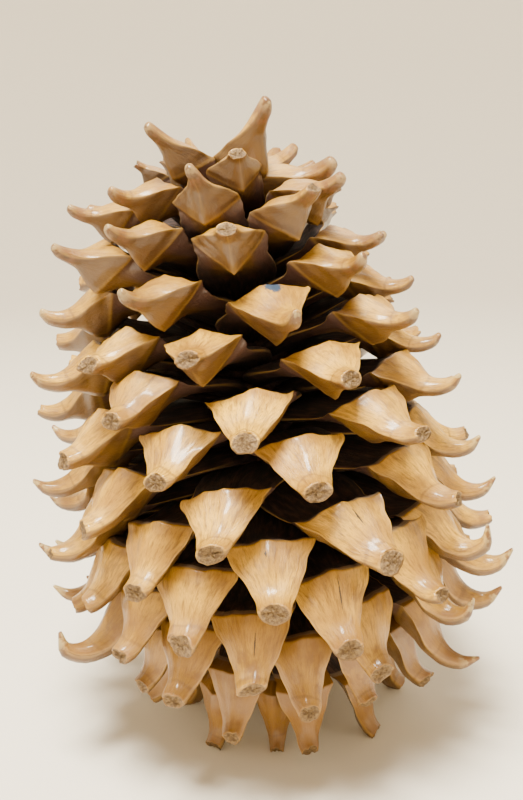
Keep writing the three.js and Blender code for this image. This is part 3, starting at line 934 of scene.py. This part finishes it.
def scale_wood(look):
    """Wood of the scales. The grain runs along each scale and draws together towards its claw,
    because the noise is read by place across and place along. Outer faces are waxy, and blades
    and breaks are dull."""
    wood = Shader("scale_wood")
    field = wood_fields(wood)
    colour = wood.mix(field.below, face_colour(wood, field, look), under_colour(wood, field, look))
    for layer in (with_keels, with_blade, with_tips, with_breaks):
        colour = layer(wood, field, look, colour)
    colour = wood.mix(field.crack, colour, look.crack)
    colour = wood.mix(field.stain, colour, look.stain)

    dull = wood.calc("MAXIMUM", field.torn, field.blade)
    plain = look.roughness + SMOOTHER_FACE
    roughness = wood.calc("MULTIPLY_ADD", field.patches, ROUGHER_PATCHES, plain)
    roughness = wood.calc("MAXIMUM", roughness, wood.times(dull, DULL_ROUGHNESS))
    relief = wood.plus(
        wood.times(field.streaks, STREAK_RELIEF),
        wood.times(field.fibres, FIBRE_RELIEF),
        wood.times(field.grit, field.torn, TORN_RELIEF),
    )
    relief = wood.calc("SUBTRACT", relief, field.crack)
    bump = wood.node("ShaderNodeBump", Height=relief, Distance=look.relief, Strength=1.0)
    wood.fed(wood.surface, Base_Color=colour, Roughness=roughness, Normal=bump.outputs[0])
    coat = wood.times(wood.rest(dull), look.coat)
    wood.fed(wood.surface, Coat_Weight=coat, Coat_Roughness=COAT_ROUGHNESS)
    return wood.material


def axis_bark(look):
    """Dark rough wood of the axis, in the blades' browns, which are darkened as painted shade."""
    bark = Shader("axis_bark")
    where = bark.node("ShaderNodeTexCoord").outputs["Object"]
    lumps = bark.noise(where, *BARK_LUMPS)
    colour = bark.mix(lumps, look.blade_deep_and_shade, look.blade_light_and_shade)
    bump = bark.node("ShaderNodeBump", Height=lumps, Distance=BARK_RELIEF)
    relief = bump.outputs[0]
    bark.fed(bark.surface, Base_Color=colour, Roughness=BARK_ROUGHNESS, Normal=relief)
    return bark.material


def floor_paper(stage):
    """Plain matt paper of the floor and backdrop."""
    paper = Shader("floor_paper")
    paper.fed(paper.surface, Base_Color=rgba(stage.floor_colour), Roughness=FLOOR_ROUGHNESS)
    return paper.material


def axis_surface():
    """The axis: its profile of radius by height carried round the cone, with slow lumps added to
    the radius by two sines of angle and height multiplied together. Its rings are evenly spaced
    along the profile, and a point closes it at the bottom and at the top."""
    profile = np.array(AXIS_PROFILE, float)
    reach = np.concatenate([[0], np.cumsum(np.hypot(*np.diff(profile, axis=0).T))])
    at = np.linspace(0, reach[-1], AXIS_RINGS + 2)[1:-1]
    radius, height = (np.interp(at, reach, profile[:, k])[:, None] for k in (0, 1))
    angle = 2 * np.pi * np.arange(AXIS_SIDES) / AXIS_SIDES
    waves = [np.sin(count * angle + twist * height) for count, twist in LUMP_WAVES]
    around = radius * (1 + LUMP_SHARE * waves[0] * waves[1])
    points = np.stack([around * np.cos(angle), around * np.sin(angle), height + 0 * angle], -1)
    return leaned(points)[None] * MM


def faced_outward(vertices, quads, triangles):
    """Turns all faces round if the closed surface has a negative volume."""
    corners = np.concatenate([quads[:, [0, 1, 2]], quads[:, [0, 2, 3]], triangles])
    a, b, c = (vertices[corners[:, k]] for k in range(3))
    if np.einsum("ij,ij->", a, np.cross(b, c)) < 0:
        return quads[:, ::-1], triangles[:, ::-1]
    return quads, triangles


def user_number(name, description, default, most, least=0, **kind):
    """A number that a user may change, with its unit or subtype."""
    return bpy.props.FloatProperty(
        name=name, description=description, default=default, min=least, max=most, **kind
    )


def user_colour(name, description, default):
    """A colour that a user may change."""
    return bpy.props.FloatVectorProperty(
        name=name, description=description, default=default, size=3, min=0, max=1, subtype="COLOR"
    )


class ConeForm(bpy.types.PropertyGroup):
    """Sizes of the scales that a user may change."""

    blade_thickness: user_number(
        "Blade thickness", "Thickness of a scale's inner blade", 0.0068, 0.01, 0.001, unit="LENGTH"
    )
    waviness: user_number(
        "Waviness", "Height of the slow waves in the faces of the scales", 0.0005, 0.001, unit="LENGTH"
    )
    edge_waviness: user_number(
        "Edge waviness", "How much a scale's width varies, as a share", 0.045, 0.2, subtype="FACTOR"
    )
    roll_wander_deg: user_number(
        "Roll", "Greatest chance turn of a scale about its own length, in degrees", 3, 10
    )
    claw_swing: user_number(
        "Claw swing", "Greatest sideways bend of a claw's tip", 0.0018, 0.004, unit="LENGTH"
    )
    break_spread: user_number(
        "Break spread", "How much the length of broken claws varies", 0.0012, 0.004, unit="LENGTH"
    )
    break_slant: user_number("Break slant", "Slope of the steepest broken ends", 0.6, 1.5)
    break_ragged: user_number(
        "Break raggedness", "Height of the splinters on a broken end", 0.0004, 0.001, unit="LENGTH"
    )


class ConeLook(bpy.types.PropertyGroup):
    """Colours and gloss of the wood."""

    face_light: user_colour("Face, light", "Lightest tan of the outer faces", (0.86, 0.47, 0.035))
    face_warm: user_colour("Face, warm", "Ochre patches of the outer faces", (0.46, 0.22, 0.014))
    face_deep: user_colour("Face, deep", "Brown of the grain's streaks", (0.15, 0.06, 0.006))
    # Brown of blotches, claws and crown, also laid on the lowest scales as painted shade
    face_brown_and_shade: user_colour("Face, brown", "Brown of low scales and claws", (0.25, 0.11, 0.012))
    # Browns under the keels, darker than the wood's own as painted shade of the under sides
    under_light_and_shade: user_colour("Under, light", "Light brown under the keels", (0.17, 0.083, 0.012))
    under_deep_and_shade: user_colour("Under, deep", "Deep brown under the keels", (0.08, 0.034, 0.005))
    margin: user_colour("Margin", "Pale edge of blades and keels", (0.66, 0.38, 0.08))
    # The blades' dark brown, darkened near to black as painted shade of the gaps between the scales
    blade_light_and_shade: user_colour("Blade, light", "Lighter streaks of the blades", (0.075, 0.034, 0.022))
    blade_deep_and_shade: user_colour("Blade, deep", "Dark brown of the blades", (0.016, 0.0065, 0.003))
    crest_strip: user_colour("Crest strip", "Pale grey strip behind the crest", (0.3, 0.21, 0.13))
    flank: user_colour("Flank", "Grey-purple sides of a scale's body", (0.085, 0.043, 0.034))
    tip_brown: user_colour("Tip, brown", "Brown spots along the claws", (0.2, 0.075, 0.02))
    point: user_colour("Point", "Pale tip of a whole claw", (0.62, 0.46, 0.18))
    break_light: user_colour("Break, light", "Pale specks of a broken end", (0.25, 0.15, 0.052))
    break_deep: user_colour("Break, deep", "Brown of a broken end", (0.11, 0.058, 0.02))
    crack: user_colour("Crack", "Dark inside of a drying crack", (0.05, 0.025, 0.012))
    stain: user_colour("Stain", "Blue-grey resin stain on one crest", (0.025, 0.045, 0.08))
    roughness: user_number(
        "Roughness", "Roughness of the outer faces", 0.38, 1, subtype="FACTOR"
    )
    coat: user_number(
        "Coat", "Strength of the waxy gloss on the wood", 0.4, 1, subtype="FACTOR"
    )
    relief: user_number("Relief", "Height of the grain", 0.0007, 0.002, unit="LENGTH")


class ConeStage(bpy.types.PropertyGroup):
    """Floor, lights and camera."""

    floor_colour: user_colour("Floor", "Pale colour of the floor and backdrop", (0.84, 0.76, 0.63))
    key_power: user_number(
        "Key light", "Power of the large lamp above and in front", 90, 500, unit="POWER"
    )
    fill_power: user_number("Fill light", "Power of the two side lamps", 1.5, 500, unit="POWER")
    back_power: user_number("Back light", "Power of the lamp behind", 6, 500, unit="POWER")
    sky: user_number("Sky", "Strength of the even light from all round", 0.22, 5)
    lens: user_number("Lens", "Focal length of the camera", 47.25, 200, 10, unit="CAMERA")


CAMERA_PLACE = (-0.002, -0.4597, 0.273)
CAMERA_DOWN_DEG = 15
CAMERA_ROLL_DEG = -1
SENSOR_WIDTH = 36
# The floor runs level to FLOOR_REACH, sweeps up by a quarter circle and ends in a wall
FLOOR_REACH = 1.2
FLOOR_MIDDLE = 0.05
SWEEP_RADIUS = 0.8
WALL_HEIGHT = 2.6
LEVEL_RINGS, SWEEP_RINGS, WALL_RINGS = 12, 24, 6
FLOOR_SIDES = 96
FLOOR_ROUGHNESS = 0.9
# Lamps: name, place, side length, which power it takes
LAMPS = [
    ("key_lamp", (-0.16, -0.34, 1.5), 0.5, "key_power"),
    ("left_lamp", (-1.15, -0.35, 0.75), 0.8, "fill_power"),
    ("right_lamp", (1.15, -0.45, 0.85), 0.8, "fill_power"),
    ("back_lamp", (0.2, 1.0, 1.2), 0.8, "back_power"),
]
LAMP_AIM = (0, 0, 0.13)
LAMP_COLOUR = (1, 0.97, 0.87)
SKY_COLOUR = (1, 0.95, 0.87, 1)


def floor_surface():
    """Floor and backdrop in one sweep: a profile of radius and height (level, then a quarter
    circle, then upright) carried once round the vertical."""
    level = np.linspace(FLOOR_MIDDLE, FLOOR_REACH, LEVEL_RINGS)
    quarter = np.linspace(0, np.pi / 2, SWEEP_RINGS)[1:]
    wall = np.linspace(SWEEP_RADIUS, WALL_HEIGHT, WALL_RINGS)[1:]
    sweep_out = FLOOR_REACH + SWEEP_RADIUS * np.sin(quarter)
    sweep_up = SWEEP_RADIUS * (1 - np.cos(quarter))
    radius = np.concatenate([level, sweep_out, 0 * wall + FLOOR_REACH + SWEEP_RADIUS])[:, None]
    height = np.concatenate([0 * level, sweep_up, wall])[:, None]
    angle = 2 * np.pi * np.arange(FLOOR_SIDES) / FLOOR_SIDES
    rings = np.stack([radius * np.cos(angle), radius * np.sin(angle), height + 0 * angle], -1)
    ring = np.arange(radius.size * FLOOR_SIDES).reshape(radius.size, FLOOR_SIDES)
    follow = np.roll(ring, -1, 1)
    quads = np.stack([ring[1:], follow[1:], follow[:-1], ring[:-1]], -1).reshape(-1, 4)
    fan = np.stack([ring[0], follow[0], np.full(FLOOR_SIDES, ring.size)], -1)
    return np.concatenate([rings.reshape(-1, 3), [[0, 0, 0]]]), quads, fan


class PINECONE_OT_scales(bpy.types.Operator):
    """Build the scales, in four pieces from the lowest up"""

    bl_idname = "pinecone.scales"
    bl_label = "Scales"

    def execute(self, context):
        form, look = context.scene.cone_form, context.scene.cone_look
        wood = scale_wood(look)
        for name, first, after in SCALE_GROUPS:
            scale = np.arange(first, after, dtype=float)
            points, marks = scale_surfaces(scale, form)
            vertices, quads, triangles, like = closed_tubes(points)
            quads, triangles = faced_outward(vertices, quads, triangles)
            for mark, values in marks.items():
                flat = values.reshape(-1, 3)
                marks[mark] = np.concatenate([flat, flat[like]])
            solid_piece(name, vertices, quads, triangles, wood, marks)
        return {"FINISHED"}


class PINECONE_OT_axis(bpy.types.Operator):
    """Build the axis that the scales spring from"""

    bl_idname = "pinecone.axis"
    bl_label = "Axis"

    def execute(self, context):
        vertices, quads, triangles, _ = closed_tubes(axis_surface())
        quads, triangles = faced_outward(vertices, quads, triangles)
        solid_piece("axis", vertices, quads, triangles, axis_bark(context.scene.cone_look))
        return {"FINISHED"}


class PINECONE_OT_stage(bpy.types.Operator):
    """Set up the pale floor, the soft lamps and the camera"""

    bl_idname = "pinecone.stage"
    bl_label = "Stage"

    def execute(self, context):
        stage = context.scene.cone_stage
        vertices, quads, fan = floor_surface()
        faces = quads.tolist() + fan.tolist()
        floor = placed("floor", smooth_mesh("floor", vertices, faces, floor_paper(stage)))

        for name, place, size, power in LAMPS:
            lamp = bpy.data.lights.new(name, "AREA")
            lamp.shape = "SQUARE"
            lamp.size = size
            lamp.energy = getattr(stage, power)
            lamp.color = LAMP_COLOUR
            made = placed(name, lamp)
            made.location = place
            aim = Vector(LAMP_AIM) - Vector(place)
            made.rotation_euler = aim.to_track_quat("-Z", "Y").to_euler()

        world = bpy.data.worlds.new("pale_sky")
        world.use_nodes = True
        background = world.node_tree.nodes["Background"]
        background.inputs["Color"].default_value = SKY_COLOUR
        background.inputs["Strength"].default_value = stage.sky
        context.scene.world = world

        camera = placed("camera", bpy.data.cameras.new("camera"))
        camera.data.lens = stage.lens
        camera.data.sensor_width = SENSOR_WIDTH
        camera.location = CAMERA_PLACE
        tilt = Matrix.Rotation(math.radians(90 - CAMERA_DOWN_DEG), 4, "X")
        roll = Matrix.Rotation(math.radians(CAMERA_ROLL_DEG), 4, "Z")
        camera.rotation_euler = (tilt @ roll).to_euler()
        context.scene.camera = camera
        return {"FINISHED"}


class PINECONE_PT_panel(bpy.types.Panel):
    """The cone's steps and its sizes and colours"""

    bl_idname = "PINECONE_PT_panel"
    bl_label = "Pine cone"
    bl_space_type = "VIEW_3D"
    bl_region_type = "UI"
    bl_category = "Pine cone"

    def draw(self, context):
        for operator in OPERATORS:
            self.layout.operator(operator.bl_idname)
        for group in (context.scene.cone_form, context.scene.cone_look, context.scene.cone_stage):
            box = self.layout.box()
            for name in group.__annotations__:
                box.prop(group, name)


OPERATORS = (PINECONE_OT_axis, PINECONE_OT_scales, PINECONE_OT_stage)
CLASSES = (ConeForm, ConeLook, ConeStage, *OPERATORS, PINECONE_PT_panel)


def register():
    for made in CLASSES:
        bpy.utils.register_class(made)
    bpy.types.Scene.cone_form = bpy.props.PointerProperty(type=ConeForm)
    bpy.types.Scene.cone_look = bpy.props.PointerProperty(type=ConeLook)
    bpy.types.Scene.cone_stage = bpy.props.PointerProperty(type=ConeStage)


def unregister():
    del bpy.types.Scene.cone_form
    del bpy.types.Scene.cone_look
    del bpy.types.Scene.cone_stage
    for made in reversed(CLASSES):
        bpy.utils.unregister_class(made)


def main():
    """Builds everything."""
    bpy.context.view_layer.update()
    register()
    bpy.ops.pinecone.axis()
    bpy.ops.pinecone.scales()
    bpy.ops.pinecone.stage()


if __name__ == "__main__":
    main()
